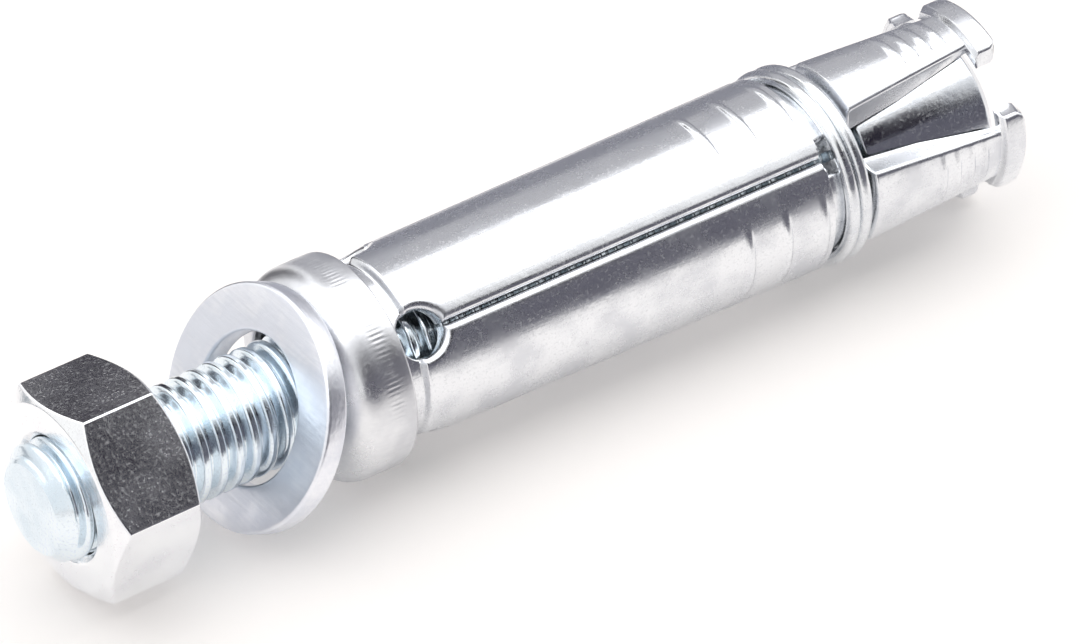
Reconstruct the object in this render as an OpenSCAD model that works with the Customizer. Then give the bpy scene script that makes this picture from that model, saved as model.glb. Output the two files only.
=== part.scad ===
// Projecting shield anchor: a threaded stud draws a tapered nut into four pressed
// segments, which a domed ferrule and a coiled wire ring hold together.
// The anchor lies on its side. Its axis runs along X, and the stud's nut end is at -X.

/* [Stud and nut] */
// Outer diameter of the stud's thread
thread_d = 8; // [6:0.5:10]
// Pitch of the stud's thread
thread_pitch = 1.25; // [1:0.05:1.5]
// Length of stud that stands out in front of the ferrule
stud_reach = 20.3; // [19:0.1:30]
// Width of the hexagon nut across its flats
nut_flats = 13; // [12:0.5:17]
// Height of the hexagon nut
nut_h = 6.5; // [5:0.1:8]
// Length of stud that shows past the nut's outer face
stud_show = 1.9; // [1.5:0.1:4]
// Turn of the nut about the axis, from +Y towards +Z
nut_turn = 49; // [0:1:59]
// Swing of the loose stud in its shield, its nut end towards -Y
stud_swing = 0.8; // [0:0.1:0.8]

/* [Washer] */
// Reach of the washer past the ferrule's rim, on the radius
washer_over = 0.65; // [0.4:0.05:1.6]
// Thickness of the washer
washer_t = 1.6; // [1.2:0.1:2]
// Lean of the loose washer, its top towards the ferrule
washer_lean = 24; // [0:1:24]
// Room between the stud and the washer's hole, on the diameter
washer_play = 1.8; // [1.8:0.1:2.4]

/* [Shield] */
// Room between the stud and the inside of the shield, on the radius
stud_room = 1.05; // [1:0.05:1.6]
// Growth of the body's radius towards the wire ring
body_flare = 0.4; // [0.1:0.05:0.5]
// Thickness of the pressed wall
wall = 1.35; // [1.1:0.05:1.4]
// Length of the whole shield, ferrule included
shield_len = 53.9; // [53:0.1:60]
// Length of the legs, from the wire ring's groove to their heads
leg_len = 13.7; // [13:0.1:16]
// Width of the seam between two segments
seam = 0.4; // [0.3:0.05:0.8]
// Diameter of the round relief hole at the root of each seam
relief_d = 3.3; // [2.5:0.1:3.5]
// Turn of the four segments about the axis, from +Y towards +Z
shield_turn = 4.5; // [0:0.5:45]

/* [Ferrule] */
// Length of the domed ferrule along the axis
ferrule_len = 4.5; // [4.4:0.1:5]
// Radius of the ferrule's round shoulder
dome_r = 2.1; // [1.8:0.1:2.2]
// Thickness of the ferrule's sheet
sheet = 0.75; // [0.6:0.05:0.8]

/* [Ring] */
// Diameter of the ring's wire
wire_d = 0.95; // [0.8:0.05:1]
// Number of turns of the wire
ring_turns = 2.1; // [1.5:0.1:2.2]

/* [Legs] */
// Width of a leg next to the wire ring
leg_root_w = 6; // [5:0.1:6.2]
// Width of a leg at its far end
leg_tip_w = 4; // [3:0.1:4.2]
// Width of the head across a leg's end
head_w = 6.3; // [5:0.1:6.5]
// Length of that head along the axis
head_len = 1.9; // [1.6:0.1:2.2]
// Angle of the taper that spreads the legs
taper = 6.75; // [6:0.25:7]

/* [Hidden] */

fine = 96;                       // facets of a circle, for true curves
eps = 0.01;                      // overlap that makes two cuts meet cleanly
past = 1;                        // run of a cut past the faces that it opens
far = 40;                        // reach of a cutting shape across the anchor

// Clearances between pieces
thread_gap = 0.03;               // nut to stud, on the radius
bore_gap = 0.75;                 // stud to the ferrule's hole, on the radius
neck_gap = 0.15;                 // segment necks to the ferrule's rear lip
flange_gap = 0.2;                // segment flanges to the ferrule's inside
taper_gap = 0.12;                // legs to the expander nut, on the radius
wire_gap = 0.03;                 // wire to the bottom of its groove
touch_gap = 0.08;                // washer to the ferrule's dome
hole_gap = 0.02;                 // stud to the edge of the hole that it lies in

thread_r = thread_d / 2;
inner_r = thread_r + stud_room;
body_r = inner_r + wall;
stud_tip_cut = 0.72 * thread_pitch;   // chamfer on the stud's ends, past the thread's root
nut_mouth = 0.36 * thread_pitch;      // countersink of the nut's thread
thread_depth = thread_pitch / 2;
thread_x = stud_tip_cut - stud_reach;  // start of the thread's rings
thread_count = floor(-thread_x / thread_pitch);
groove_run = 0.6 * thread_pitch;      // length of one ring's groove, out of its pitch

// Segments, along the axis from the ferrule's front face
flange_x = 1.2;                  // start of the flange inside the ferrule
rear_lip = 0.8;                  // length of the ferrule's rear lip
lip_room = 0.2;                  // flange to the rear lip, along the axis
neck_drop = 0.45;                // step from the body down to the neck
neck_show = 1.4;                 // length of neck behind the ferrule
neck_r = body_r - neck_drop;
flange_r = body_r;
ferrule_in_r = flange_r + flange_gap;
ferrule_r = ferrule_in_r + sheet;
washer_r = ferrule_r + washer_over;
body_x = ferrule_len + neck_show;
relief_x = body_x + 0.7;         // middle of the relief holes
head_x = shield_len - head_len;
groove_x = head_x - leg_len;     // start of the wire ring's groove
groove_depth = 0.8;
groove_r = body_r + body_flare - groove_depth;
coil_pitch = wire_d * 1.03;
coil_room = 0.12;                // wire to each end of its groove
groove_len = ring_turns * coil_pitch + wire_d + 2 * coil_room;
leg_x = groove_x + groove_len;
leg_rise = 0.35;                 // leg over the body's ferrule end, on the radius
leg_r = body_r + leg_rise;
leg_thin = 0.2;                  // fall of the leg's radius towards its head
head_rise = 0.25;                // head over the leg, on the radius
head_r = leg_r + head_rise;
groove_press = 0.2;              // rise of the groove's floor inside the segment
press_run = 0.4;                 // length of the slopes beside that rise
shoulder_cut = 1.3;              // length of the sloped corners before the ring
groove_angle = 70;               // spread of a segment under the wire ring
groove_w = 2 * groove_r * sin(groove_angle / 2);

// Expander nut
cone_back = 0.75;                // small end behind the wire ring's groove
cone_short = 0.45;               // end of the taper in front of the heads
cone_edge = 0.8;                 // slope on the rim of the far face
tip_wall = 0.5;                  // thickness of a leg at its head
cone_x = leg_x + cone_back;
cone_end = head_x - cone_short;
cone_face = cone_end + cone_edge;
leg_in_r = leg_r - wall;
cone_tip_r = leg_r - leg_thin - tip_wall - taper_gap;
cone_root_r = cone_tip_r - (cone_end - cone_x) * tan(taper);
flank_x = cone_end - (cone_tip_r + taper_gap - leg_in_r) / tan(taper);

flange_end = ferrule_len - rear_lip - lip_room;
flange_nose = dome_r - flange_x;   // sloped nose of the flange, under the ferrule's dome
head_corner = 0.5;               // sloped corners of a leg's head

// Raised bars and ribs
bar_count = 3;
bar_pitch = 3;
bar_back = 7.1;                  // first bar to the wire ring's groove
bar_x = groove_x - bar_back;
bar_angle = 48;                  // spread of a bar round the segment
rib_count = 4;
rib_pitch = 1.17;
rib_back = 4.9;                  // first rib to the head
rib_x = head_x - rib_back;
bead_w = 0.55;
bead_h = 0.2;
bead_root = 0.3;                 // depth to which a bar or rib is rooted

// Washer, nut and stud along the axis
washer_hole_r = (thread_d + washer_play) / 2;
washer_lift = washer_hole_r * cos(washer_lean) - washer_t / 2 * sin(washer_lean)
              - thread_r - hole_gap;
dome_c = ferrule_r - dome_r;     // radius at which the dome's arc is centred
washer_x = dome_r - (dome_r + washer_t / 2 + touch_gap
           + (dome_c - washer_lift) * sin(washer_lean)) / cos(washer_lean);
nut_x = stud_show - stud_reach;  // the nut's outer face
swing_x = (cone_x + cone_end) / 2;
stud_inset = 0.5;                // stud's end inside the expander nut
stud_len = stud_reach + cone_face - stud_inset;

// Height of the axis: the washer's rim stands on the ground
axis_h = washer_r * cos(washer_lean) + washer_t / 2 * sin(washer_lean) - washer_lift;
mid_x = (shield_len - stud_reach) / 2;
// Middle of the room that the anchor takes up in Y, with the washer swung aside
mid_y = (ferrule_r - washer_r - (swing_x - washer_x) * sin(stud_swing)) / 2;

// Solid of revolution about X, from [x, r] points
module turned(points) {
    rotate([90, 0, 90]) rotate_extrude($fn = fine) polygon([for (p = points) [p[1], p[0]]]);
}

// Cylinder along X
module rod(x, len, r) {
    translate([x, 0, 0]) rotate([0, 90, 0]) cylinder(h = len, r = r, $fn = fine);
}

// Puts a shape on the anchor's axis, above the ground and centred along X and Y
module placed() {
    translate([-mid_x, -mid_y, axis_h]) children();
}

// Puts a shape on the stud's own axis, which swings about the middle of its taper
module swung() {
    placed() translate([swing_x, 0, 0]) rotate([0, 0, stud_swing]) translate([-swing_x, 0, 0])
        children();
}

// Stud, its thread shown as rings as far as the ferrule; the helix is a matter of finish
module stud() {
    grooves = [for (i = [0:thread_count - 1]) let (x = thread_x + (i + 0.2) * thread_pitch)
        each [[x, thread_r], [x + groove_run / 2, thread_r - thread_depth],
              [x + groove_run, thread_r]]];
    color("silver") swung() turned(concat(
        [[-stud_reach, 0],
         [-stud_reach, thread_r - stud_tip_cut],
         [thread_x, thread_r]],
        grooves,
        [[stud_len - stud_reach - stud_tip_cut, thread_r],
         [stud_len - stud_reach, thread_r - stud_tip_cut],
         [stud_len - stud_reach, 0]]));
}

// Tapered nut that the stud pulls between the legs
module expander_nut() {
    color("slategray") swung() difference() {
        turned([
            [cone_x, 0],
            [cone_x, cone_root_r],
            [cone_end, cone_tip_r],
            [cone_face, cone_tip_r - cone_edge],
            [cone_face, 0],
        ]);
        rod(cone_x - past, cone_face - cone_x + 2 * past, thread_r);
    }
}

// Hexagon nut, chamfered on both faces
module hex_nut() {
    corner_r = nut_flats / 2 / cos(30);
    face_r = nut_flats / 2 * 0.97;
    clear_r = corner_r + past;
    cut = (clear_r - face_r) * tan(30);
    color("dimgray") swung() difference() {
        intersection() {
            translate([nut_x, 0, 0]) rotate([nut_turn, 0, 0]) rotate([90, 0, 90])
                cylinder(h = nut_h, r = corner_r, $fn = 6);
            turned([
                [nut_x, 0], [nut_x, face_r], [nut_x + cut, clear_r],
                [nut_x + nut_h - cut, clear_r], [nut_x + nut_h, face_r], [nut_x + nut_h, 0],
            ]);
        }
        rod(nut_x - past, nut_h + 2 * past, thread_r + thread_gap);
        turned([
            [nut_x - eps, 0], [nut_x - eps, thread_r + nut_mouth], [nut_x + nut_mouth, thread_r],
            [nut_x + nut_mouth, 0],
        ]);
    }
}

// Loose flat washer, standing on its rim and leaning on the ferrule
module washer() {
    edge = 0.2;
    color("gainsboro") swung() translate([washer_x, 0, washer_lift])
        rotate([0, washer_lean, 0]) difference() {
            turned([
                [-washer_t / 2, 0], [-washer_t / 2, washer_r - edge],
                [-washer_t / 2 + edge, washer_r], [washer_t / 2 - edge, washer_r],
                [washer_t / 2, washer_r - edge], [washer_t / 2, 0],
            ]);
            rod(-washer_t / 2 - past, washer_t + 2 * past, washer_hole_r);
        }
}

// Domed ferrule: a pressed cup with a hole for the stud and a turned-in rear lip
module ferrule() {
    steps = 12;
    bore_r = thread_r + bore_gap;
    lip_r = neck_r + neck_gap;
    outer = [for (i = [0:steps]) let (a = 90 * i / steps)
        [dome_r * (1 - cos(a)), dome_c + dome_r * sin(a)]];
    color("lightgray") placed() turned(concat(
        [[0, bore_r]],
        outer,
        [[ferrule_len, ferrule_r], [ferrule_len, lip_r],
         [ferrule_len - rear_lip, lip_r], [ferrule_len - rear_lip, ferrule_in_r],
         [dome_r, ferrule_in_r], [sheet, dome_c], [sheet, bore_r]]));
}

// Wire ring: a close coil that holds the segments on the expander nut
module spring_ring() {
    sides = 12;
    rings = round(ring_turns * 44);
    coil_r = groove_r + wire_gap + wire_d / 2;
    start_x = groove_x + coil_room + wire_d / 2;
    lead = atan(coil_pitch / (2 * PI * coil_r));
    // Point j on ring i of the wire's skin; the ring plane follows the coil's lead
    function skin(i, j) = let (
        turn = 360 * ring_turns * i / rings - 100,
        a = 360 * j / sides,
        out = wire_d / 2 * cos(a),
        side = wire_d / 2 * sin(a),
        r = coil_r + out
    ) [start_x + coil_pitch * ring_turns * i / rings + side * cos(lead),
       r * cos(turn) + side * sin(lead) * sin(turn),
       r * sin(turn) - side * sin(lead) * cos(turn)];
    points = [for (i = [0:rings]) for (j = [0:sides - 1]) skin(i, j)];
    walls = [for (i = [0:rings - 1]) for (j = [0:sides - 1]) let (k = (j + 1) % sides)
        [i * sides + j, i * sides + k, (i + 1) * sides + k, (i + 1) * sides + j]];
    caps = [[for (j = [sides - 1:-1:0]) j], [for (j = [0:sides - 1]) rings * sides + j]];
    color("silver") placed() polyhedron(points, concat(walls, caps));
}

// Radius of the body's flared outside at x
function flared_r(x) = body_r + body_flare * (x - body_x) / (groove_x - body_x);

// Raised bead round the anchor at x, on a surface of radius r
module bead(x, r) {
    turned([
        [x - bead_w / 2, r - bead_root], [x - bead_w / 2, r], [x - bead_w / 5, r + bead_h],
        [x + bead_w / 5, r + bead_h], [x + bead_w / 2, r], [x + bead_w / 2, r - bead_root],
    ]);
}

// Prism along X whose section is a wedge of the given angle about +Z
module wedge(x, len, angle, drop = 0) {
    half = far * tan(angle / 2);
    translate([x, 0, drop]) rotate([90, 0, 90])
        linear_extrude(height = len) polygon([[0, 0], [half, far], [-half, far]]);
}

// Outline of a segment seen from outside, as [x, half width] from neck to head
function outline() = [
    [0, far], [groove_x - shoulder_cut, far],
    [groove_x - shoulder_cut, body_r * sin(45)], [groove_x, groove_w / 2],
    [leg_x - press_run, groove_w / 2], [leg_x, leg_root_w / 2],
    [head_x, leg_tip_w / 2], [head_x, head_w / 2],
    [shield_len - head_corner, head_w / 2], [shield_len, head_w / 2 - head_corner],
];

// One pressed segment, its middle line on top
module segment_form() {
    o = outline();
    both = concat(o, [for (i = [len(o) - 1:-1:0]) [o[i][0], -o[i][1]]]);
    round_off = 0.25;
    difference() {
        intersection() {
            union() {
                turned([
                    [flange_x, inner_r], [flange_x, flange_r - flange_nose], [dome_r, flange_r],
                    [flange_end, flange_r], [flange_end, neck_r],
                    [body_x, neck_r], [body_x + round_off, body_r],
                    [groove_x - round_off, body_r + body_flare], [groove_x, groove_r],
                    [leg_x - round_off, groove_r], [leg_x, leg_r],
                    [head_x, leg_r - leg_thin], [head_x + round_off, head_r],
                    [shield_len - round_off, head_r], [shield_len, head_r - round_off],
                    [shield_len, cone_tip_r + taper_gap],
                    [cone_end, cone_tip_r + taper_gap], [flank_x, leg_in_r],
                    [leg_x, leg_in_r], [leg_x - press_run, leg_in_r - groove_press],
                    [groove_x, leg_in_r - groove_press],
                    [groove_x - press_run, inner_r + body_flare],
                ]);
                intersection() {
                    for (i = [0:bar_count - 1])
                        bead(bar_x + i * bar_pitch, flared_r(bar_x + i * bar_pitch));
                    wedge(bar_x - bar_pitch, (bar_count + 1) * bar_pitch, bar_angle);
                }
                for (i = [0:rib_count - 1]) bead(rib_x + i * rib_pitch, leg_r - leg_thin);
            }
            wedge(0, shield_len + past, 90, seam / sqrt(2));
            linear_extrude(height = far) polygon(both);
        }
        for (side = [-45, 45]) rotate([side, 0, 0])
            translate([relief_x, 0, 0]) cylinder(h = far, d = relief_d, $fn = fine);
    }
}

// A segment turned about the axis by the given angle from the top
module segment(turn) {
    color("lightsteelblue") placed() rotate([turn + shield_turn, 0, 0]) segment_form();
}

module segment_top() segment(0);
module segment_rear() segment(-90);
module segment_bottom() segment(180);
module segment_front() segment(90);

stud();
expander_nut();
hex_nut();
washer();
ferrule();
spring_ring();
segment_top();
segment_rear();
segment_bottom();
segment_front();
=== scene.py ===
"""Looks of a shield anchor: its pressed zinc-plated pieces, its studio and its camera.

Every length of a piece is in millimetres, and every place along the anchor is measured from the
ferrule's front face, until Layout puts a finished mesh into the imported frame, which is in metres.
The studio is in metres. Angles are in degrees unless they are said to be in radians.
"""

import logging
import math
from dataclasses import dataclass
from enum import Enum

import bmesh
import bpy
from mathutils import Matrix, Vector

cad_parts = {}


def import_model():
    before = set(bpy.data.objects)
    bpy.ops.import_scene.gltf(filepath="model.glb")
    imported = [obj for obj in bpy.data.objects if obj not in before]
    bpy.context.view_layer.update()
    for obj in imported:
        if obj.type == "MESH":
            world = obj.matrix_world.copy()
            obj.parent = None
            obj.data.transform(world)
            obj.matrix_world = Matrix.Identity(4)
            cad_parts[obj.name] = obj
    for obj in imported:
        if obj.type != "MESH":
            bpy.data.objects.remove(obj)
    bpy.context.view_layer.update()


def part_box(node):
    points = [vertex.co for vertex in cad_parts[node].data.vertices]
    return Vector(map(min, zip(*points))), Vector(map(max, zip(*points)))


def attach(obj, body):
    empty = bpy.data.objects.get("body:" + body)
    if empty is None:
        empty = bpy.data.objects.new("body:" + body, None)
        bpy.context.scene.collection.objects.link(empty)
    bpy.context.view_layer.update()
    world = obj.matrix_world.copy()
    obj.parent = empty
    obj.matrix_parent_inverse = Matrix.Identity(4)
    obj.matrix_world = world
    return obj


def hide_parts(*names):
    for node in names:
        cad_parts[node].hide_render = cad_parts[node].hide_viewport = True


log = logging.getLogger("shield_anchor")

MM = 0.001
STUD_SWING = 0.8
SHIELD_TURN = 4.5
HALF_SPAN = 45.0
WELD = 0.0005
STRAIGHT_CORNER = 88.0
TRIM_SHARE = 0.45
WHITE = (1.0, 1.0, 1.0, 1.0)


class Turn(Enum):
    """Place of a segment round the axis, in degrees from the top towards the front."""

    TOP = 0.0
    FRONT = 90.0
    BOTTOM = 180.0
    REAR = 270.0


def smooth_step(value: float) -> float:
    """Eases a value from 0 to 1.

    Args:
        value: Any number, held between 0 and 1.

    Returns:
        The eased value, with no slope at either end.
    """
    held = min(max(value, 0.0), 1.0)
    return held * held * (3.0 - 2.0 * held)


def rise(x: float, middle: float, run: float) -> float:
    """Rounded step that climbs from 0 to 1 over a run centred on a place.

    Args:
        x: Place at which the step is read.
        middle: Middle of the step.
        run: Length of the step.

    Returns:
        Share of the step that has been climbed at x.
    """
    return smooth_step((x - middle) / run + 0.5)


def rolled(depth: float, radius: float) -> float:
    """Fall of a face next to an edge that is rolled over with a quarter circle.

    Args:
        depth: Distance inwards from the edge.
        radius: Radius of the rolled edge.

    Returns:
        How far the face lies below its full height.
    """
    if depth >= radius:
        return 0.0
    reach = radius - max(depth, 0.0)
    return radius - math.sqrt(max(radius * radius - reach * reach, 0.0))


def filleted(points: list, radius: float, steps: int = 4) -> list:
    """Rounds the corners of an open outline.

    Args:
        points: Corners as (x, r) pairs.
        radius: Wanted radius of each rounded corner, cut down where a side is short.
        steps: Number of chords in each rounded corner.

    Returns:
        The outline with an arc in place of each inner corner.
    """
    corners = [Vector(p) for p in points]
    out = [corners[0]]
    for before, here, after in zip(corners, corners[1:], corners[2:]):
        back = (before - here).normalized()
        ahead = (after - here).normalized()
        half = back.angle(ahead) / 2
        if half > math.radians(STRAIGHT_CORNER):
            out.append(here)
            continue
        room = TRIM_SHARE * min((before - here).length, (after - here).length)
        trim = min(radius / math.tan(half), room)
        bend = trim * math.tan(half)
        centre = here + (back + ahead).normalized() * (bend / math.sin(half))
        start = here + back * trim - centre
        end = here + ahead * trim - centre
        sweep = start.angle(end)
        for step in range(steps + 1):
            share = step / steps
            along = math.sin((1 - share) * sweep) * start + math.sin(share * sweep) * end
            out.append(centre + along / math.sin(sweep))
    out.append(corners[-1])
    return [tuple(p) for p in out]


@dataclass(frozen=True)
class Layout:
    """Where the anchor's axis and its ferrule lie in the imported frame, in metres.

    The loose stud swings about swing_x, the middle of its taper, with all that it carries.
    """

    ferrule_x: float
    axis_y: float
    axis_z: float
    swing_x: float = 46.922

    @classmethod
    def from_frame(cls) -> "Layout":
        """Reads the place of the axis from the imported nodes.

        Returns:
            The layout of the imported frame.
        """
        low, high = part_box("ferrule")
        return cls(ferrule_x=low.x, axis_y=(low.y + high.y) / 2, axis_z=(low.z + high.z) / 2)

    def matrix(self) -> Matrix:
        """Gives the change from millimetres along the axis to metres in the frame.

        Returns:
            The matrix of that change.
        """
        shift = Matrix.Translation((self.ferrule_x, self.axis_y, self.axis_z))
        return shift @ Matrix.Scale(MM, 4)

    def length(self, node: str) -> float:
        """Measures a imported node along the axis.

        Args:
            node: Name of the node.

        Returns:
            Its length in millimetres.
        """
        low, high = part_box(node)
        return (high.x - low.x) / MM

    def start(self, node: str) -> float:
        """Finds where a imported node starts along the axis.

        Args:
            node: Name of the node.

        Returns:
            Its lowest place in millimetres.
        """
        return (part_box(node)[0].x - self.ferrule_x) / MM

    def swing(self, mesh: bmesh.types.BMesh) -> bmesh.types.BMesh:
        """Swings a mesh with the loose stud.

        Args:
            mesh: The mesh in millimetres, with the stud along X.

        Returns:
            The same mesh, on the stud's own axis.
        """
        there = Matrix.Translation((self.swing_x, 0.0, 0.0))
        turn = Matrix.Rotation(math.radians(STUD_SWING), 4, "Z")
        mesh.transform(there @ turn @ there.inverted())
        return mesh

    def put(self, name: str, mesh: bmesh.types.BMesh, crease: float = 32.0) -> bpy.types.Object:
        """Turns a finished mesh into an object of the scene.

        Args:
            name: Name of the new object.
            mesh: The mesh in millimetres, freed here.
            crease: Angle in degrees past which an edge stays sharp.

        Returns:
            The new object, smooth shaded and in place.
        """
        bmesh.ops.remove_doubles(mesh, verts=mesh.verts, dist=WELD)
        bmesh.ops.recalc_face_normals(mesh, faces=mesh.faces)
        mesh.transform(self.matrix())
        data = bpy.data.meshes.new(name)
        mesh.to_mesh(data)
        mesh.free()
        data.polygons.foreach_set("use_smooth", [True] * len(data.polygons))
        data.set_sharp_from_angle(angle=math.radians(crease))
        obj = bpy.data.objects.new(name, data)
        bpy.context.scene.collection.objects.link(obj)
        return obj


def lathe(outline: list, steps: int, closed: bool = False) -> bmesh.types.BMesh:
    """Turns an outline about the axis.

    Args:
        outline: The (x, r) points in order.
        steps: Number of columns round the axis.
        closed: Whether the last point joins the first, as on a ring.

    Returns:
        The turned mesh.
    """
    mesh = bmesh.new()
    rows = []
    for x, r in outline:
        row = []
        for step in range(steps):
            turn = 2 * math.pi * step / steps
            row.append(mesh.verts.new((x, r * math.cos(turn), r * math.sin(turn))))
        rows.append(row)
    pairs = list(zip(rows, rows[1:]))
    if closed:
        pairs.append((rows[-1], rows[0]))
    for near, next_row in pairs:
        for step in range(steps):
            after = (step + 1) % steps
            mesh.faces.new((near[step], near[after], next_row[after], next_row[step]))
    return mesh


class NodeGroup:
    """Small builder for a shader node group or a material's own tree."""

    def __init__(self, tree: bpy.types.NodeTree):
        """Takes up a node tree.

        Args:
            tree: The tree that the nodes go into.
        """
        self.tree = tree

    def add(self, kind: str, **settings) -> bpy.types.Node:
        """Adds a node.

        Args:
            kind: Type name of the shader node.
            **settings: Properties of the node, by name.

        Returns:
            The new node.
        """
        node = self.tree.nodes.new(kind)
        for name, value in settings.items():
            setattr(node, name, value)
        return node

    def link(self, source, target) -> None:
        """Links two sockets.

        Args:
            source: Output socket.
            target: Input socket.
        """
        self.tree.links.new(source, target)

    def math(self, operation: str, first, second) -> bpy.types.NodeSocket:
        """Adds a sum of two values.

        Args:
            operation: Name of the sum.
            first: Socket or number.
            second: Socket or number.

        Returns:
            The result's socket.
        """
        node = self.add("ShaderNodeMath", operation=operation)
        for slot, value in zip(node.inputs, (first, second)):
            if isinstance(value, (int, float)):
                slot.default_value = value
            else:
                self.link(value, slot)
        return node.outputs[0]

    def noise(self, place, scale: float, detail: float, distortion: float = 0.0):
        """Adds a noise texture.

        Args:
            place: Socket of the coordinates.
            scale: Number of patches in a metre.
            detail: Number of finer layers.
            distortion: How far the patches are pulled out of shape.

        Returns:
            The noise's socket, around 0.5.
        """
        node = self.add("ShaderNodeTexNoise")
        node.inputs["Scale"].default_value = scale
        node.inputs["Detail"].default_value = detail
        node.inputs["Distortion"].default_value = distortion
        self.link(place, node.inputs["Vector"])
        return node.outputs["Fac"]

    def ranged(self, value, low: float, high: float, start: float, end: float):
        """Maps a value from one span onto another.

        Args:
            value: Input socket.
            low: Start of the span that is read.
            high: End of the span that is read.
            start: Result at low.
            end: Result at high.

        Returns:
            The result's socket, held within the new span.
        """
        node = self.add("ShaderNodeMapRange")
        self.link(value, node.inputs["Value"])
        node.inputs["From Min"].default_value = low
        node.inputs["From Max"].default_value = high
        node.inputs["To Min"].default_value = start
        node.inputs["To Max"].default_value = end
        return node.outputs["Result"]

    def seen(self) -> bpy.types.NodeSocket:
        """Tells the rays that show a surface from those that only light it.

        Returns:
            A socket that is 1 for camera, glossy and transmission rays, and 0 for others.
        """
        rays = self.add("ShaderNodeLightPath")
        seen = self.math("MAXIMUM", rays.outputs["Is Camera Ray"], rays.outputs["Is Glossy Ray"])
        return self.math("MAXIMUM", seen, rays.outputs["Is Transmission Ray"])


class ZincSkin:
    """Shared node group: the speckle, grain and scratches of a zinc-plated pressing.

    Clouds, flecks and hairs are given by their number in a metre.
    """

    NAME = "zinc_skin"
    CLOUDS = 340.0
    FLECKS = 5200.0
    HAIRS = 800.0

    def build(self) -> bpy.types.NodeTree:
        """Builds the group once, to be shared by every finish.

        Returns:
            The group's node tree.
        """
        if self.NAME in bpy.data.node_groups:
            return bpy.data.node_groups[self.NAME]
        tree = bpy.data.node_groups.new(self.NAME, "ShaderNodeTree")
        for name in ("Speckle", "Grain", "Roughness", "Spread", "Wear", "Scratches"):
            tree.interface.new_socket(name, in_out="INPUT", socket_type="NodeSocketFloat")
        tree.interface.new_socket("Brush", in_out="INPUT", socket_type="NodeSocketVector")
        for name in ("Height", "Roughness", "Mask", "Bare"):
            tree.interface.new_socket(name, in_out="OUTPUT", socket_type="NodeSocketFloat")
        kit = NodeGroup(tree)
        entry = kit.add("NodeGroupInput")
        leave = kit.add("NodeGroupOutput")
        place = kit.add("ShaderNodeTexCoord").outputs["Object"]

        speckle = kit.noise(place, 1.0, 4.0)
        kit.link(entry.outputs["Speckle"], speckle.node.inputs["Scale"])
        cloud = kit.noise(place, self.CLOUDS, 5.0)
        fleck = kit.noise(place, self.FLECKS, 1.0)
        hair = kit.noise(place, self.HAIRS, 1.0, distortion=2.5)

        stretch = kit.add("ShaderNodeMapping")
        kit.link(entry.outputs["Brush"], stretch.inputs["Scale"])
        kit.link(place, stretch.inputs["Vector"])
        grain = kit.noise(stretch.outputs["Vector"], 1.0, 3.0)

        drawn = kit.math("MULTIPLY", grain, entry.outputs["Grain"])
        height = kit.math("ADD", speckle, drawn)
        cloudy = kit.ranged(cloud, 0.35, 0.65, -0.5, 0.5)
        spread = kit.math("MULTIPLY", cloudy, entry.outputs["Spread"])
        rough = kit.math("ADD", entry.outputs["Roughness"], spread)

        line = kit.math("ABSOLUTE", kit.math("SUBTRACT", hair, 0.5), 0.0)
        thin = kit.ranged(line, 0.0, 0.01, 1.0, 0.0)
        scratch = kit.math("MULTIPLY", thin, entry.outputs["Scratches"])
        small = kit.ranged(fleck, 0.56, 0.7, 0.0, 1.0)
        spots = kit.math("MULTIPLY", small, entry.outputs["Wear"])
        worn = kit.math("MAXIMUM", scratch, spots)
        kit.link(kit.math("SUBTRACT", 1.0, worn), leave.inputs["Bare"])
        kit.link(height, leave.inputs["Height"])
        dull = kit.math("ADD", rough, kit.math("MULTIPLY", worn, 0.5))
        kit.link(dull, leave.inputs["Roughness"])
        streak = kit.math("MULTIPLY", kit.math("SUBTRACT", drawn, 0.25), 0.25)
        streaked = kit.math("ADD", cloud, streak)
        kit.link(kit.ranged(streaked, 0.4, 0.64, 0.0, 1.0), leave.inputs["Mask"])
        return tree


@dataclass(frozen=True)
class ZincFinish:
    """One zinc-plated finish.

    The colours are linear. Speckle is the number of grains in a metre, relief is the height of the
    grain in millimetres, and brush is the number of brush marks in a metre along each axis.
    """

    name: str
    colour: tuple
    stain: tuple
    roughness: float = 0.28
    spread: float = 0.12
    speckle: float = 2600.0
    grain: float = 0.5
    relief: float = 0.012
    wear: float = 0.12
    scratches: float = 0.05
    brush: tuple = (300.0, 5200.0, 5200.0)

    def build(self) -> bpy.types.Material:
        """Builds the finish once, to be shared by the pieces that wear it.

        Returns:
            The finish as a material.
        """
        title = "dressed_" + self.name
        if title in bpy.data.materials:
            return bpy.data.materials[title]
        material = bpy.data.materials.new(title)
        material.use_nodes = True
        kit = NodeGroup(material.node_tree)
        shader = material.node_tree.nodes["Principled BSDF"]
        skin = kit.add("ShaderNodeGroup", node_tree=ZincSkin().build())
        for name, value in (
            ("Speckle", self.speckle), ("Grain", self.grain), ("Roughness", self.roughness),
            ("Spread", self.spread), ("Wear", self.wear), ("Scratches", self.scratches),
            ("Brush", self.brush),
        ):
            skin.inputs[name].default_value = value
        kit.link(skin.outputs["Bare"], shader.inputs["Metallic"])
        kit.link(skin.outputs["Roughness"], shader.inputs["Roughness"])
        tint = kit.add("ShaderNodeMix", data_type="RGBA")
        tint.inputs["A"].default_value = (*self.colour, 1.0)
        tint.inputs["B"].default_value = (*self.stain, 1.0)
        kit.link(skin.outputs["Mask"], tint.inputs["Factor"])
        kit.link(tint.outputs["Result"], shader.inputs["Base Color"])
        bump = kit.add("ShaderNodeBump")
        bump.inputs["Strength"].default_value = 0.6
        bump.inputs["Distance"].default_value = self.relief * MM
        kit.link(skin.outputs["Height"], bump.inputs["Height"])
        kit.link(bump.outputs["Normal"], shader.inputs["Normal"])
        return material


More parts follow.
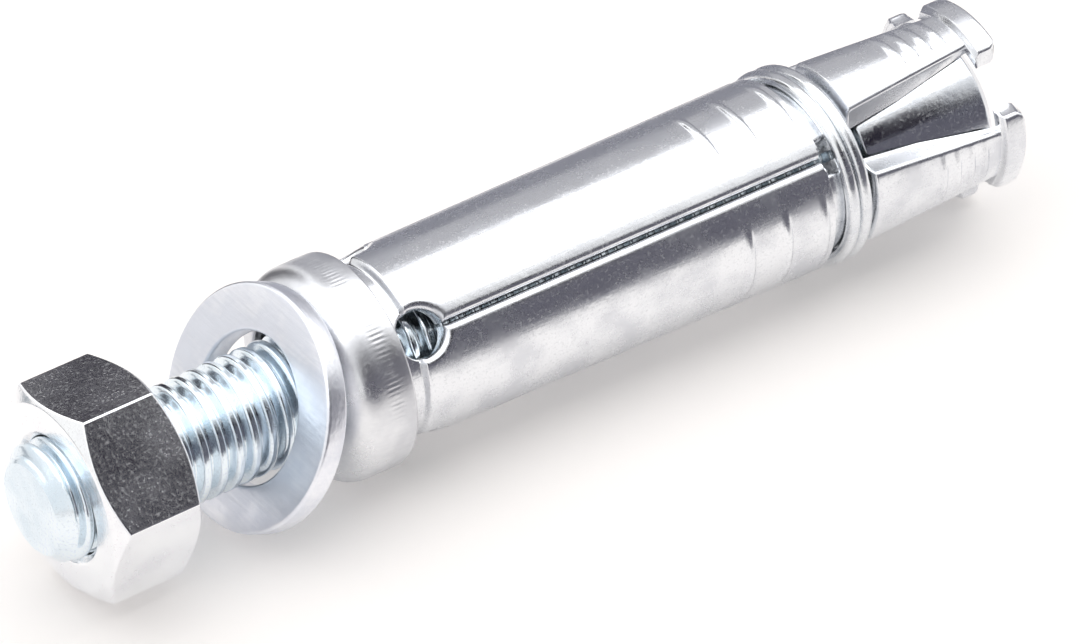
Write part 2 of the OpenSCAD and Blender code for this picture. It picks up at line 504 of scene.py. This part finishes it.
STUD_ZINC = ZincFinish(
    "stud_zinc", (0.82, 0.89, 0.94), (0.7, 0.79, 0.86), roughness=0.18, grain=0.2,
)
NUT_ZINC = ZincFinish(
    "nut_zinc", (0.96, 0.975, 0.99), (0.88, 0.89, 0.92), roughness=0.2, spread=0.05,
    relief=0.014, wear=0.13, scratches=0.12,
)
WASHER_ZINC = ZincFinish(
    "washer_zinc", (0.93, 0.94, 0.98), (0.82, 0.84, 0.9), roughness=0.36, grain=1.4,
    relief=0.02, brush=(4600.0, 420.0, 3600.0),
)
FERRULE_ZINC = ZincFinish(
    "ferrule_zinc", (0.83, 0.84, 0.86), (0.69, 0.7, 0.73), roughness=0.32,
)
SEGMENT_ZINC = ZincFinish(
    "segment_zinc", (0.85, 0.865, 0.89), (0.72, 0.735, 0.77), roughness=0.24,
)
RING_ZINC = ZincFinish(
    "ring_zinc", (0.86, 0.88, 0.9), (0.72, 0.74, 0.78), roughness=0.24, grain=0.2,
)
EXPANDER_ZINC = ZincFinish(
    "expander_zinc", (0.82, 0.84, 0.87), (0.62, 0.65, 0.7), roughness=0.2, wear=0.15,
)


@dataclass(frozen=True)
class Piece:
    """What every piece of the anchor shares: its node, its body and its finish."""

    node: str
    body: str
    finish: ZincFinish

    def dress(self, obj: bpy.types.Object) -> bpy.types.Object:
        """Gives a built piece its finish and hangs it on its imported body.

        Args:
            obj: The piece's object, in place.

        Returns:
            The same object.
        """
        obj.data.materials.clear()
        obj.data.materials.append(self.finish.build())
        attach(obj, self.body)
        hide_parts(self.node)
        log.info("dressed %s with %s", obj.name, self.finish.name)
        return obj


@dataclass(frozen=True)
class Stud(Piece):
    """The threaded stud, its thread rolled along its whole length."""

    start: float = -20.3
    end: float = 51.85
    radius: float = 4.0
    pitch: float = 1.25
    depth: float = 0.62
    crest_run: float = 0.3
    flank_run: float = 0.62
    chamfer: float = 0.9
    weld: float = 0.001
    columns: int = 72
    rows: int = 14

    def crest(self, share: float) -> float:
        """Reads the thread's form.

        Args:
            share: Place within one pitch, from 0 to 1, with the crest at 0.

        Returns:
            How far the thread lies below its crest.
        """
        away = 1.0 - abs(2.0 * share - 1.0)
        return self.depth * smooth_step((away - self.crest_run) / self.flank_run)

    def build(self, layout: Layout) -> bpy.types.Object:
        """Builds the stud.

        Args:
            layout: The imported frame's layout.

        Returns:
            The stud's object.
        """
        start, end = self.start, self.end
        turns = math.ceil((end - start) / self.pitch) + 1
        mesh = bmesh.new()
        strip = []
        for step in range(turns * self.columns + 1):
            turn = -2 * math.pi * step / self.columns
            row = []
            for slot in range(self.rows + 1):
                share = slot / self.rows
                along = start + self.pitch * (step / self.columns + share - 1)
                x = min(max(along, start), end)
                edge = self.radius - self.chamfer + min(x - start, end - x)
                r = min(self.radius - self.crest(share), edge)
                row.append(mesh.verts.new((x, r * math.cos(turn), r * math.sin(turn))))
            strip.append(row)
        for near, after in zip(strip, strip[1:]):
            for slot in range(self.rows):
                mesh.faces.new((near[slot], near[slot + 1], after[slot + 1], after[slot]))
        bmesh.ops.remove_doubles(mesh, verts=mesh.verts, dist=self.weld)
        self.cap(mesh, start, -1)
        self.cap(mesh, end, 1)
        return layout.put("stud_rod", layout.swing(mesh), crease=40)

    def cap(self, mesh: bmesh.types.BMesh, place: float, side: int) -> None:
        """Closes one end of the stud with a flat face.

        Args:
            mesh: The thread's mesh.
            place: Place of the end along the axis.
            side: 1 for the far end and -1 for the near one.
        """
        rim = [v for v in mesh.verts if abs(v.co.x - place) < 0.01 * self.weld]
        rim.sort(key=lambda v: side * math.atan2(v.co.z, v.co.y))
        mesh.faces.new(rim)


@dataclass(frozen=True)
class HexNut(Piece):
    """The hexagon nut, chamfered on both faces."""

    near: float = -18.4
    height: float = 6.5
    flats: float = 13.0
    turn: float = 49.0
    bore: float = 4.03
    mouth: float = 0.45
    face_share: float = 0.97
    chamfer: float = 30.0
    edge: float = 0.14
    sharp: float = 22.0
    per_side: int = 20

    def build(self, layout: Layout) -> bpy.types.Object:
        """Builds the nut.

        Args:
            layout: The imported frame's layout.

        Returns:
            The nut's object.
        """
        near, far = self.near, self.near + self.height
        face = self.flats / 2 * self.face_share
        slope = math.tan(math.radians(self.chamfer))
        steps = 6 * self.per_side
        mesh = bmesh.new()
        rows = [[] for _ in range(8)]
        for step in range(steps):
            turn = math.radians(self.turn + 360.0 * step / steps)
            within = math.radians(60.0 * ((step % self.per_side) / self.per_side) - 30.0)
            side = self.flats / 2 / math.cos(within)
            cut = (side - face) * slope
            outline = (
                (near + self.mouth, self.bore), (near, self.bore + self.mouth), (near, face),
                (near + cut, side), (far - cut, side), (far, face),
                (far, self.bore + self.mouth), (far - self.mouth, self.bore),
            )
            for row, (x, r) in zip(rows, outline):
                row.append(mesh.verts.new((x, r * math.cos(turn), r * math.sin(turn))))
        for here, after in zip(rows, rows[1:] + rows[:1]):
            for step in range(steps):
                ahead = (step + 1) % steps
                mesh.faces.new((here[step], here[ahead], after[ahead], after[step]))
        obj = layout.put("hexagon_nut", layout.swing(mesh), crease=24)
        bevel = obj.modifiers.new("softened edges", "BEVEL")
        bevel.width = self.edge * MM
        bevel.segments = 3
        bevel.limit_method = "ANGLE"
        bevel.angle_limit = math.radians(self.sharp)
        bevel.harden_normals = True
        return obj


@dataclass(frozen=True)
class Washer(Piece):
    """The loose flat washer, leaning on the stud."""

    middle: float = -3.44
    radius: float = 8.0
    hole: float = 4.9
    thickness: float = 1.6
    lean: float = 24.0
    lift: float = 0.131
    edge: float = 0.26
    columns: int = 160

    def build(self, layout: Layout) -> bpy.types.Object:
        """Builds the washer.

        Args:
            layout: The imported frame's layout.

        Returns:
            The washer's object.
        """
        half = self.thickness / 2
        outline = filleted([
            (0.0, self.hole), (-half, self.hole), (-half, self.radius), (half, self.radius),
            (half, self.hole), (0.0, self.hole),
        ], self.edge, 5)
        mesh = lathe(outline[:-1], self.columns, closed=True)
        lean = Matrix.Rotation(math.radians(self.lean), 4, "Y")
        mesh.transform(Matrix.Translation((self.middle, 0.0, self.lift)) @ lean)
        return layout.put("flat_washer", layout.swing(mesh))


@dataclass(frozen=True)
class Ferrule(Piece):
    """The domed ferrule that holds the segments' necks."""

    dome: float = 2.1
    sheet: float = 0.75
    hole: float = 4.75
    lip: float = 6.1
    lip_length: float = 0.8
    edge: float = 0.22
    arc_steps: int = 16
    row_length: float = 0.15
    rows: int = 12
    marks: int = 140
    mark_x: float = 3.0
    mark_length: float = 1.4
    mark_depth: float = 0.028
    mark_soft: float = 1.4
    per_mark: int = 5

    def build(self, layout: Layout) -> bpy.types.Object:
        """Builds the ferrule.

        Args:
            layout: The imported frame's layout.

        Returns:
            The ferrule's object.
        """
        low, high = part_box(self.node)
        radius = (high.z - low.z) / 2 / MM
        end = layout.length(self.node)
        inside = radius - self.sheet
        flat = radius - self.dome
        turns = [math.radians(90 * step / self.arc_steps) for step in range(self.arc_steps + 1)]
        arc = [(self.dome * (1 - math.cos(a)), flat + self.dome * math.sin(a)) for a in turns]
        wall = [(self.dome + self.row_length * step, radius) for step in range(self.rows + 1)]
        rear = filleted([
            wall[-1], (end, radius), (end, self.lip), (end - self.lip_length, self.lip),
            (end - self.lip_length, inside), (self.dome, inside), (self.sheet, flat),
            (self.sheet, self.hole), (0.0, self.hole), arc[0],
        ], self.edge)
        mesh = lathe(arc + wall[1:] + rear[1:-1], self.marks * self.per_mark, closed=True)
        for vert in mesh.verts:
            self.press(vert, inside)
        return layout.put("domed_ferrule", mesh)

    def press(self, vert: bmesh.types.BMVert, inside: float) -> None:
        """Presses the ring of short marks into the ferrule's wall, behind its dome.

        Args:
            vert: A vertex of the ferrule.
            inside: Radius of the ferrule's inside, which stays smooth.
        """
        radius = math.hypot(vert.co.y, vert.co.z)
        away = 2 * self.mark_soft * abs(vert.co.x - self.mark_x) / self.mark_length
        window = smooth_step(self.mark_soft - away)
        if radius < inside + self.sheet / 2 or window == 0.0:
            return
        turn = math.atan2(vert.co.z, vert.co.y)
        wave = 0.5 + 0.5 * math.cos(self.marks * turn)
        uneven = 0.55 + 0.25 * math.sin(17 * turn) + 0.2 * math.sin(41 * turn + 1.0)
        scale = 1 - self.mark_depth * window * wave * uneven / radius
        vert.co.y *= scale
        vert.co.z *= scale


@dataclass(frozen=True)
class ExpanderNut(Piece):
    """The tapered nut that sits between the legs."""

    near: float = 42.295
    face: float = 52.35
    root: float = 4.835
    tip: float = 5.93
    bore: float = 4.0
    edge: float = 0.8
    mouth: float = 0.5
    mouth_rise: float = 0.3
    rim: float = 0.4
    corner: float = 0.28
    columns: int = 160

    def build(self, layout: Layout) -> bpy.types.Object:
        """Builds the tapered nut.

        Args:
            layout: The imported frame's layout.

        Returns:
            The tapered nut's object.
        """
        near, face = self.near, self.face
        end = face - self.edge
        outline = filleted([
            (near + self.mouth, self.bore), (near, self.bore + self.mouth_rise), (near, self.root),
            (end, self.tip), (face, self.tip - self.edge), (face, self.bore + self.rim),
            (face - self.rim, self.bore), (near + self.mouth, self.bore),
        ], self.corner, 5)
        mesh = lathe(outline[:-1], self.columns, closed=True)
        return layout.put("tapered_nut", layout.swing(mesh))


@dataclass(frozen=True)
class WireRing(Piece):
    """The part of the close coil of wire that lies over one segment and moves out with it.

    Where two parts meet, the thin tongue of one runs in the socket of the other.
    """

    turn: Turn = Turn.TOP
    wire: float = 0.95
    spacing: float = 1.03
    coil: float = 6.505
    turns: float = 2.1
    first: float = -100.0
    sides: int = 20
    per_step: float = 3.0
    tongue: float = 0.38
    socket: float = 0.45
    reach: float = 12.0

    def build(self, layout: Layout) -> bpy.types.Object:
        """Builds this part of the ring.

        Args:
            layout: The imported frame's layout.

        Returns:
            The part's object.
        """
        middle = 90.0 + self.turn.value + SHIELD_TURN
        last = self.first + 360.0 * self.turns
        mesh = bmesh.new()
        start = layout.start(self.node) + self.wire / 2
        for lap in range(-1, 3):
            low = max(middle + 360.0 * lap - HALF_SPAN, self.first)
            high = min(middle + 360.0 * lap + HALF_SPAN, last)
            if low < high:
                self.sweep(mesh, start, self.stations(low, high, last))
        return layout.put("wire_ring_" + self.turn.name.lower(), mesh)

    def stations(self, low: float, high: float, last: float) -> list:
        """Lists the wire's stations on one arc, with its tongue and its socket.

        Args:
            low: Angle along the coil at which the arc starts, in degrees.
            high: Angle at which the arc ends.
            last: Angle at which the whole coil ends.

        Returns:
            Pairs of an angle and the wire's radius there.
        """
        steps = max(round((high - low) / self.per_step), 1)
        wire = [(low + (high - low) * step / steps, self.wire / 2) for step in range(steps + 1)]
        if low > self.first:
            tongue = [(low - self.reach * share, self.tongue) for share in (1.0, 0.5, 0.0)]
            wire = tongue + wire
        if high < last:
            deep = self.reach + 1.0
            wire += [(high - deep * share, self.socket) for share in (0.0, 0.5, 1.0)]
        return wire

    def sweep(self, mesh: bmesh.types.BMesh, start: float, stations: list) -> None:
        """Sweeps the wire along one arc of the coil.

        Args:
            mesh: The mesh being built.
            start: Place of the coil's first turn along the axis.
            stations: Pairs of an angle and the wire's radius there.
        """
        pitch = self.wire * self.spacing
        lead = math.atan(pitch / (2 * math.pi * self.coil))
        rings = []
        for degrees, half in stations:
            turn = math.radians(degrees)
            along = start + pitch * (degrees - self.first) / 360.0
            ring = []
            for side in range(self.sides):
                angle = 2 * math.pi * side / self.sides
                out = self.coil + half * math.cos(angle)
                across = half * math.sin(angle)
                ring.append(mesh.verts.new((
                    along + across * math.cos(lead),
                    out * math.cos(turn) + across * math.sin(lead) * math.sin(turn),
                    out * math.sin(turn) - across * math.sin(lead) * math.cos(turn),
                )))
            rings.append(ring)
        for here, after in zip(rings, rings[1:]):
            for side in range(self.sides):
                ahead = (side + 1) % self.sides
                mesh.faces.new((here[side], here[ahead], after[ahead], after[side]))
        mesh.faces.new(rings[0])
        mesh.faces.new(rings[-1])


@dataclass(frozen=True)
class SegmentForm:
    """Sizes of one pressed segment, along the axis from the ferrule's front face.

    A name that ends in run is the length of a rounded step, and one in back is how far the step's
    middle lies before the place that it is named after.
    """

    start: float = 1.2
    flange_end: float = 3.5
    flange: float = 6.4
    nose: float = 0.9
    neck: float = 5.95
    body_x: float = 5.9
    body: float = 6.4
    flare: float = 0.4
    groove_x: float = 38.3
    groove: float = 6.0
    groove_half: float = 3.441
    leg_x: float = 41.545
    leg: float = 6.75
    leg_thin: float = 0.2
    leg_root: float = 3.0
    leg_tip: float = 2.0
    head_x: float = 52.0
    head: float = 7.0
    head_half: float = 3.15
    head_corner: float = 0.5
    end: float = 53.9
    seam: float = 0.22
    relief_x: float = 6.6
    relief_r: float = 1.65
    shoulder: float = 0.4
    inner: float = 5.05
    press_inner: float = 5.2
    leg_inner: float = 5.4
    flank_x: float = 46.06
    flank_end: float = 51.55
    tip_inner: float = 6.05
    bar_x: float = 31.2
    bar_pitch: float = 3.0
    bars: int = 3
    bar_half: float = 24.0
    bar_fade: float = 2.6
    rib_x: float = 47.1
    rib_pitch: float = 1.17
    ribs: int = 4
    bead_w: float = 0.36
    bead_h: float = 0.22
    bead_soft: float = 1.3
    bar_start: float = 0.25
    rib_start: float = 0.1
    rib_fade: float = 2.2
    roll: float = 0.5
    leg_roll: float = 0.36
    neck_roll: float = 0.3
    end_roll: float = 0.35
    flange_run: float = 0.2
    neck_run: float = 0.5
    groove_run: float = 0.42
    leg_run: float = 0.4
    head_run: float = 0.3
    step_back: float = 0.12
    leg_back: float = 0.05
    press_back: float = 0.2
    press_run: float = 0.4

    def outer(self, x: float) -> float:
        """Reads the outside.

        Args:
            x: Place along the axis.

        Returns:
            Its radius, before its edges are rolled and its bars raised.
        """
        r = self.flange - max(self.nose - (x - self.start), 0.0)
        r += (self.neck - self.flange) * rise(x, self.flange_end, self.flange_run)
        r += (self.body - self.neck) * rise(x, self.body_x + self.step_back, self.neck_run)
        share = (x - self.body_x) / (self.groove_x - self.body_x)
        r += self.flare * min(max(share, 0.0), 1.0)
        fall = self.groove - self.body - self.flare
        r += fall * rise(x, self.groove_x - self.step_back, self.groove_run)
        r += (self.leg - self.groove) * rise(x, self.leg_x - self.leg_back, self.leg_run)
        thin = (x - self.leg_x) / (self.head_x - self.leg_x)
        r -= self.leg_thin * min(max(thin, 0.0), 1.0)
        climb = self.head - self.leg + self.leg_thin
        r += climb * rise(x, self.head_x + self.step_back, self.head_run)
        return r - rolled(self.end - x, self.end_roll)

    def inside(self, x: float) -> float:
        """Reads the inside.

        Args:
            x: Place along the axis.

        Returns:
            Its radius.
        """
        if x > self.flank_x:
            share = min((x - self.flank_x) / (self.flank_end - self.flank_x), 1.0)
            return self.leg_inner + (self.tip_inner - self.leg_inner) * share
        grown = self.flare * min(max((x - self.body_x) / (self.groove_x - self.body_x), 0), 1)
        fall = self.press_inner - self.inner - self.flare
        fallen = fall * rise(x, self.groove_x - self.press_back, self.press_run)
        climb = self.leg_inner - self.press_inner
        raised = climb * rise(x, self.leg_x - self.press_back, self.press_run)
        return self.inner + grown + fallen + raised

    def half_angle(self, x: float, r: float) -> float:
        """Reads how wide the segment is, as an angle.

        Args:
            x: Place along the axis.
            r: Radius at which the edge is wanted.

        Returns:
            Half of the angle that the segment spans there, in radians.
        """
        away = max(self.relief_r ** 2 - (x - self.relief_x) ** 2, 0.0)
        gap = max(self.seam / 2, math.sqrt(away))
        angle = math.radians(HALF_SPAN) - math.asin(min(gap / r, 1.0))
        half = self.half_width(x)
        if half is not None:
            angle = min(angle, math.asin(min(half / r, 1.0)))
        return angle

    def half_width(self, x: float) -> float | None:
        """Reads how wide the segment is from its shoulders to its head.

        Args:
            x: Place along the axis.

        Returns:
            Half of the width, or None before the shoulders.
        """
        first = self.groove_x - self.shoulder
        if x < first:
            return None
        if x < self.groove_x:
            full = self.body * math.sin(math.radians(HALF_SPAN))
            share = (x - first) / self.shoulder
            return full + (self.groove_half - full) * (1 - math.sqrt(1 - share * share))
        if x < self.leg_x:
            climb = rise(x, self.leg_x - self.press_back, self.press_run)
            return self.groove_half + (self.leg_root - self.groove_half) * climb
        if x < self.head_x:
            share = (x - self.leg_x) / (self.head_x - self.leg_x)
            return self.leg_root + (self.leg_tip - self.leg_root) * share
        corner = max(self.head_corner - (self.end - x), 0.0)
        return self.head_half - corner

    def edge_roll(self, x: float, r: float, angle: float) -> float:
        """Reads how far the outside falls beside the segment's own edge.

        Args:
            x: Place along the axis.
            r: Radius of the outside.
            angle: Angle from the segment's middle line, in radians.

        Returns:
            The fall, which is 0 away from the edge.
        """
        limit = self.half_angle(x, r)
        radius = self.roll + (self.leg_roll - self.roll) * rise(x, self.groove_x, 2.0)
        depth = (limit - abs(angle)) * r
        side = r * math.sin(max(math.radians(HALF_SPAN) - abs(angle), 0.0))
        hole = math.hypot(x - self.relief_x, side) - self.relief_r
        if x < self.groove_x - self.shoulder:
            depth = min(side - self.seam / 2, hole)
        if x < self.body_x:
            radius *= self.neck_roll
        return rolled(depth, radius)

    def raised(self, x: float, angle: float) -> float:
        """Reads the pressed bars and ribs.

        Args:
            x: Place along the axis.
            angle: Angle from the segment's middle line, in radians.

        Returns:
            Their height.
        """
        height = 0.0
        for bar in range(self.bars):
            near = 1 - abs(x - self.bar_x - bar * self.bar_pitch) / self.bead_w
            end = (math.radians(self.bar_half) - abs(angle)) * self.body / self.bar_fade
            ends = smooth_step(end + self.bar_start)
            height = max(height, smooth_step(near * self.bead_soft) * ends)
        edge = (self.half_angle(x, self.leg) - abs(angle)) * self.leg
        for rib in range(self.ribs):
            near = 1 - abs(x - self.rib_x - rib * self.rib_pitch) / self.bead_w
            ends = smooth_step((edge - self.rib_start) / self.rib_fade)
            height = max(height, smooth_step(near * self.bead_soft) * ends)
        return self.bead_h * height

    def stations(self) -> list:
        """Lists where the segment has a row of points, closer together where its form turns.

        Returns:
            The places along the axis, in order.
        """
        rows = int((self.end - self.start) / 0.4) + 1
        places = [self.start + 0.4 * step for step in range(rows)]
        steps = (
            self.flange_end, self.body_x + self.step_back, self.groove_x - self.step_back,
            self.leg_x - self.leg_back, self.head_x + self.step_back,
        )
        for middle in steps:
            places += [middle + 0.05 * step for step in range(-6, 7)]
        for step in range(-16, 17):
            places.append(self.relief_x + self.relief_r * math.sin(math.pi / 2 * step / 16))
        for step in range(1, 6):
            places += [self.relief_x + side * (self.relief_r + 0.1 * step) for side in (-1, 1)]
        centres = [self.bar_x + bar * self.bar_pitch for bar in range(self.bars)]
        centres += [self.rib_x + rib * self.rib_pitch for rib in range(self.ribs)]
        for middle in centres:
            places += [middle + 0.08 * step for step in range(-8, 9)]
        places += [self.head_x - 0.01, self.head_x + 0.01, self.groove_x - self.shoulder]
        places += [self.end - reach for reach in (0.0, 0.01, 0.04, 0.09, 0.16, 0.25, 0.35)]
        kept = []
        for place in sorted(places):
            if self.start <= place <= self.end and (not kept or place - kept[-1] > 0.006):
                kept.append(place)
        return kept


@dataclass(frozen=True)
class Segment(Piece):
    """One of the four pressed segments that make up the shield."""

    turn: Turn = Turn.TOP
    form: SegmentForm = SegmentForm()
    across: int = 44

    def columns(self, limit: float, r: float) -> list:
        """Spreads a row's points over the segment's width.

        Args:
            limit: Half of the angle that is spanned, in radians.
            r: Radius.

        Returns:
            The angles of a row's points, closer together next to the edges.
        """
        near = [reach / r for reach in (0.0, 0.02, 0.06, 0.12, 0.2, 0.31, 0.45)]
        inner = limit - near[-1] * 1.25
        middle = [inner * (2 * step / self.across - 1) for step in range(self.across + 1)]
        left = [-(limit - reach) for reach in near]
        right = [limit - reach for reach in reversed(near)]
        return left + middle + right

    def build(self, layout: Layout) -> bpy.types.Object:
        """Builds the segment.

        Args:
            layout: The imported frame's layout.

        Returns:
            The segment's object.
        """
        form = self.form
        mesh = bmesh.new()
        loops = []
        for x in form.stations():
            r = form.outer(x)
            top = []
            for angle in self.columns(form.half_angle(x, r), r):
                high = r + form.raised(x, angle) - form.edge_roll(x, r, angle)
                top.append((x, high, angle))
            low = form.inside(x)
            under = [(x, low, angle) for angle in self.columns(form.half_angle(x, low), low)]
            loops.append([self.point(mesh, p) for p in top + under[::-1]])
        count = len(loops[0])
        for here, after in zip(loops, loops[1:]):
            for slot in range(count):
                ahead = (slot + 1) % count
                mesh.faces.new((here[slot], here[ahead], after[ahead], after[slot]))
        half = count // 2
        for loop in (loops[0], loops[-1]):
            for slot in range(half - 1):
                below = count - 1 - slot
                mesh.faces.new((loop[slot], loop[slot + 1], loop[below - 1], loop[below]))
        turn = Matrix.Rotation(math.radians(self.turn.value + SHIELD_TURN), 4, "X")
        mesh.transform(turn)
        return layout.put("pressed_" + self.node, mesh, crease=38)

    def point(self, mesh: bmesh.types.BMesh, place: tuple) -> bmesh.types.BMVert:
        """Adds a point, with the segment's middle line on top.

        Args:
            mesh: The mesh being built.
            place: Place along the axis, radius and angle from the middle line.

        Returns:
            The new vertex.
        """
        x, r, angle = place
        return mesh.verts.new((x, r * math.sin(angle), r * math.cos(angle)))


@dataclass(frozen=True)
class Cloth:
    """A lamp like a bright cloth that hangs level over the floor, in metres."""

    name: str
    place: tuple
    size: tuple
    level: float


@dataclass(frozen=True)
class Card:
    """A card that the bright metal mirrors, in metres, tipped up and then turned."""

    name: str
    place: tuple
    size: tuple
    colour: tuple
    tip: float = 90.0
    turn: float = 0.0

    def matrix(self) -> Matrix:
        """Gives the card's place.

        Returns:
            The matrix that moves a sheet from the floor to the card's place.
        """
        upright = Matrix.Rotation(math.radians(self.tip), 4, "X")
        spin = Matrix.Rotation(math.radians(self.turn), 4, "Z")
        return Matrix.Translation(self.place) @ spin @ upright


CLOTHS = (
    Cloth("overhead_cloth", (0.1, 0.0), (1.4, 0.44), 1.17),
    Cloth("rear_cloth", (0.12, 0.56), (1.3, 0.68), 0.6),
)
CARDS = (
    Card("card_behind", (0.155, 0.037, 0.014), (0.31, 0.028), (0.42, 0.43, 0.5)),
    Card("pale_card_behind", (0.155, 0.038, 0.054), (0.31, 0.052), (0.76, 0.77, 0.82)),
    Card("dark_card_behind", (-0.0145, 0.037, 0.022), (0.015, 0.044), (0.055, 0.05, 0.07)),
    Card("low_card_beside", (0.09, -0.27, 0.075), (0.66, 0.15), (0.16, 0.16, 0.2), turn=14.0),
    Card("dark_card_beside", (-0.033, -0.3, 0.255), (0.42, 0.21), (0.017, 0.014, 0.026), turn=14.0),
    Card("dark_card_far", (0.295, -0.219, 0.17), (0.24, 0.04), (0.04, 0.045, 0.055), turn=14.0),
    Card("card_on_floor", (0.09, -0.16, 0.001), (0.5, 0.2), (0.24, 0.24, 0.28), tip=0.0),
    Card("blue_card_before", (-0.06, 0.034, 0.0032), (0.05, 0.0064), (0.34, 0.4, 0.46), turn=49.5),
)


@dataclass(frozen=True)
class Studio:
    """Floor, lamps, cards and camera. The camera's distance and aim are in millimetres."""

    azimuth: float = 54.6
    elevation: float = 37.3
    distance: float = 450.0
    roll: float = -0.34
    aim: tuple = (1.823, 0.02, 4.533)
    lens: float = 231.6
    floor_half: float = 4.0
    lamp_height: float = 0.42
    floor_glow: float = 0.24
    room_light: float = 0.3

    def build(self) -> None:
        """Builds the whole studio."""
        self.floor()
        self.lamps()
        self.cards()
        self.world()
        self.camera()
        bpy.context.scene.view_settings.view_transform = "Standard"

    def sheet(self, name: str, matrix: Matrix, size: tuple) -> bpy.types.Object:
        """Makes a flat rectangle for the stage.

        Args:
            name: Name of the sheet.
            matrix: Place of the sheet, whose normal is its own Z.
            size: Width and height in metres.

        Returns:
            The sheet's object.
        """
        mesh = bmesh.new()
        bmesh.ops.create_grid(mesh, x_segments=1, y_segments=1, size=0.5)
        mesh.transform(matrix @ Matrix.Diagonal((*size, 1.0, 1.0)))
        data = bpy.data.meshes.new(name)
        mesh.to_mesh(data)
        mesh.free()
        obj = bpy.data.objects.new(name, data)
        bpy.context.scene.collection.objects.link(obj)
        return obj

    def matt(self, name: str, colour: tuple) -> bpy.types.Material:
        """Makes a matt material.

        Args:
            name: Name of the material.
            colour: Linear colour.

        Returns:
            The material, with no gloss.
        """
        material = bpy.data.materials.new(name)
        material.use_nodes = True
        shader = material.node_tree.nodes["Principled BSDF"]
        shader.inputs["Base Color"].default_value = (*colour, 1.0)
        shader.inputs["Roughness"].default_value = 1.0
        shader.inputs["Specular IOR Level"].default_value = 0.0
        return material

    def floor(self) -> None:
        """White floor that keeps the anchor's soft shadow."""
        size = (2 * self.floor_half, 2 * self.floor_half)
        sheet = self.sheet("floor", Matrix.Identity(4), size)
        material = self.matt("white_floor", (0.96, 0.92, 0.895))
        kit = NodeGroup(material.node_tree)
        shader = material.node_tree.nodes["Principled BSDF"]
        shader.inputs["Emission Color"].default_value = WHITE
        glow = kit.math("MULTIPLY", kit.seen(), self.floor_glow)
        kit.link(glow, shader.inputs["Emission Strength"])
        sheet.data.materials.append(material)

    def lamps(self) -> None:
        """A bright cloth overhead and a wider, paler one behind it."""
        for cloth in CLOTHS:
            data = bpy.data.lights.new(cloth.name, "AREA")
            data.shape = "RECTANGLE"
            data.size, data.size_y = cloth.size
            data.energy = cloth.level * math.pi * cloth.size[0] * cloth.size[1]
            lamp = bpy.data.objects.new(cloth.name, data)
            lamp.location = (*cloth.place, self.lamp_height)
            lamp.visible_camera = False
            bpy.context.scene.collection.objects.link(lamp)

    def cards(self) -> None:
        """Cards that the bright metal mirrors, out of the camera's sight."""
        for card in CARDS:
            sheet = self.sheet(card.name, card.matrix(), card.size)
            sheet.data.materials.append(self.matt(card.name, card.colour))
            sheet.visible_camera = False
            sheet.visible_shadow = False
            sheet.visible_diffuse = False

    def world(self) -> None:
        """Plain surrounding light, white where it is seen."""
        world = bpy.data.worlds.new("studio")
        bpy.context.scene.world = world
        world.use_nodes = True
        kit = NodeGroup(world.node_tree)
        ground = world.node_tree.nodes["Background"]
        ground.inputs["Color"].default_value = WHITE
        level = kit.ranged(kit.seen(), 0.0, 1.0, self.room_light, 1.0)
        kit.link(level, ground.inputs["Strength"])

    def camera(self) -> None:
        """Camera at the photograph's station."""
        heading = math.radians(self.azimuth)
        dip = math.radians(self.elevation)
        forward = Vector((
            math.cos(heading) * math.cos(dip), math.sin(heading) * math.cos(dip), -math.sin(dip),
        ))
        data = bpy.data.cameras.new("camera")
        data.sensor_width = 36.0
        data.lens = self.lens
        data.clip_start = 0.01
        camera = bpy.data.objects.new("camera", data)
        camera.location = (Vector(self.aim) - forward * self.distance) * MM
        facing = forward.to_track_quat("-Z", "Y").to_matrix()
        roll = Matrix.Rotation(math.radians(self.roll), 3, "Z")
        camera.rotation_euler = (facing @ roll).to_euler()
        bpy.context.scene.collection.objects.link(camera)
        bpy.context.scene.camera = camera


def anchor_pieces() -> list:
    """Lists every piece of the anchor, in the order in which it is put together.

    Returns:
        The pieces, not yet built.
    """
    pieces = [
        Stud("stud", "stud", STUD_ZINC),
        ExpanderNut("expander_nut", "stud", EXPANDER_ZINC),
        HexNut("hex_nut", "nut", NUT_ZINC),
        Washer("washer", "washer", WASHER_ZINC),
        Ferrule("ferrule", "shield", FERRULE_ZINC),
    ]
    for turn in Turn:
        node = "segment_" + turn.name.lower()
        pieces.append(Segment(node, node, SEGMENT_ZINC, turn))
        pieces.append(WireRing("spring_ring", node, RING_ZINC, turn))
    return pieces


def main() -> None:
    """Builds the dressed anchor and its studio."""
    logging.basicConfig(level=logging.INFO)
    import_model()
    layout = Layout.from_frame()
    for piece in anchor_pieces():
        piece.dress(piece.build(layout))
    Studio().build()


if __name__ == "__main__":
    main()
